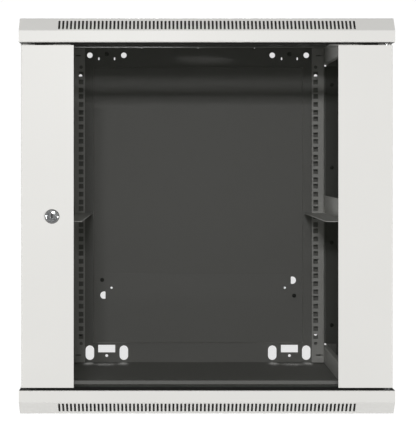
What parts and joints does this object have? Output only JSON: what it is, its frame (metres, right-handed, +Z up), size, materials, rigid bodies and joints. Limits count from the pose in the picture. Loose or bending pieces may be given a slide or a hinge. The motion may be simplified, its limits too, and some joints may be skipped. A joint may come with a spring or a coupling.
{
  "type": "wall mount network cabinet",
  "caption": "Wall mount cabinet for rack equipment: bevelled vented bars above and below, framed glass door with a cam lock, rack rails inside, lift-off side panels.",
  "frame": {"origin": "midway between the two outer wall-bolt holes of the top panel, on the rear face that meets the wall", "axes": "+X to the viewer's right, +Y into the wall, +Z up; the door faces -Y"},
  "size_m": [0.6, 0.453, 0.635],
  "materials": {
    "powder_coat": "satin",
    "tinted_glass": "tinted",
    "lock_chrome": "polished",
    "zinc": "zinc plated",
    "spring_steel": "plain",
    "dark_screw": "blackened",
    "brass_nut": "plain",
    "dark_plastic": "matte",
    "bush_plastic": "matte",
    "buffer_rubber": "matte",
    "foam_tape": "matte"
  },
  "bodies": {
    "cabinet": {"top_panel": "powder_coat", "bottom_panel": "powder_coat", "top_front_bar": "powder_coat", "bottom_front_bar": "powder_coat", "front_upright_left": "powder_coat", "front_upright_right": "powder_coat", "rear_upright_left": "powder_coat", "rear_upright_right": "powder_coat", "rear_panel": "powder_coat", "cable_entry_cover": "powder_coat", "front_rail_left": "powder_coat", "front_rail_right": "powder_coat", "rear_rail_left": "powder_coat", "rear_rail_right": "powder_coat", "bottom_beam_left": "powder_coat", "bottom_beam_right": "powder_coat", "top_beam_left": "powder_coat", "top_beam_right": "powder_coat", "brace_left": "powder_coat", "brace_right": "powder_coat", "upper_hinge_plate": "powder_coat", "lower_hinge_plate": "powder_coat", "rear_panel_screws": "dark_screw", "cable_cover_screws": "dark_screw", "frame_bolts": "zinc", "frame_nuts": "zinc", "hole_plugs": "dark_plastic", "door_buffers": "buffer_rubber", "earth_stud": "zinc", "earth_nut": "brass_nut", "lower_hinge_pin": "zinc", "lower_hinge_washer": "bush_plastic", "upper_hinge_bush": "bush_plastic"},
    "door": {"door_strip_left": "powder_coat", "door_strip_right": "powder_coat", "door_glass": "tinted_glass", "glass_tapes": "foam_tape", "glass_clips": "zinc", "glass_clip_nuts": "zinc", "upper_hinge_bracket": "powder_coat", "lower_hinge_bracket": "powder_coat", "hinge_spring": "spring_steel", "lock_housing": "lock_chrome", "lock_nut": "zinc"},
    "door_lock": {"lock_plug": "lock_chrome", "lock_cam": "zinc", "cam_screw": "zinc"},
    "hinge_pin": {"upper_hinge_pin": "zinc"},
    "side_panel_left": {"side_panel_left": "powder_coat", "side_lock_housing_left": "lock_chrome", "side_lock_nut_left": "zinc"},
    "side_lock_left": {"side_lock_plug_left": "lock_chrome", "side_lock_cam_left": "zinc"},
    "side_panel_right": {"side_panel_right": "powder_coat", "side_lock_housing_right": "lock_chrome", "side_lock_nut_right": "zinc"},
    "side_lock_right": {"side_lock_plug_right": "lock_chrome", "side_lock_cam_right": "zinc"}
  },
  "joints": [
    {"name": "door_hinge", "type": "hinge", "parent": "cabinet", "child": "door", "pos_m": [0.288, -0.441, -0.2995], "axis": [0, 0, 1], "range_deg": [0, 180]},
    {"name": "door_lock_turn", "type": "hinge", "parent": "door", "child": "door_lock", "pos_m": [-0.247, -0.45, -0.2995], "axis": [0, 1, 0], "range_deg": [0, 90]},
    {"name": "hinge_pin_pull", "type": "slide", "parent": "door", "child": "hinge_pin", "axis": [0, 0, -1], "range_m": [0, 0.01], "stiffness_N_per_m": 800, "springref_m": -0.01, "deforming": ["hinge_spring"]},
    {"name": "side_panel_left_lift_off", "type": "slide", "parent": "cabinet", "child": "side_panel_left", "axis": [-1, 0, 0], "range_m": [0, 0.08]},
    {"name": "side_lock_left_turn", "type": "hinge", "parent": "side_panel_left", "child": "side_lock_left", "pos_m": [-0.2995, -0.225, -0.047], "axis": [1, 0, 0], "range_deg": [0, 90]},
    {"name": "side_panel_right_lift_off", "type": "slide", "parent": "cabinet", "child": "side_panel_right", "axis": [1, 0, 0], "range_m": [0, 0.08]},
    {"name": "side_lock_right_turn", "type": "hinge", "parent": "side_panel_right", "child": "side_lock_right", "pos_m": [0.2995, -0.225, -0.047], "axis": [1, 0, 0], "range_deg": [0, 90]}
  ]
}
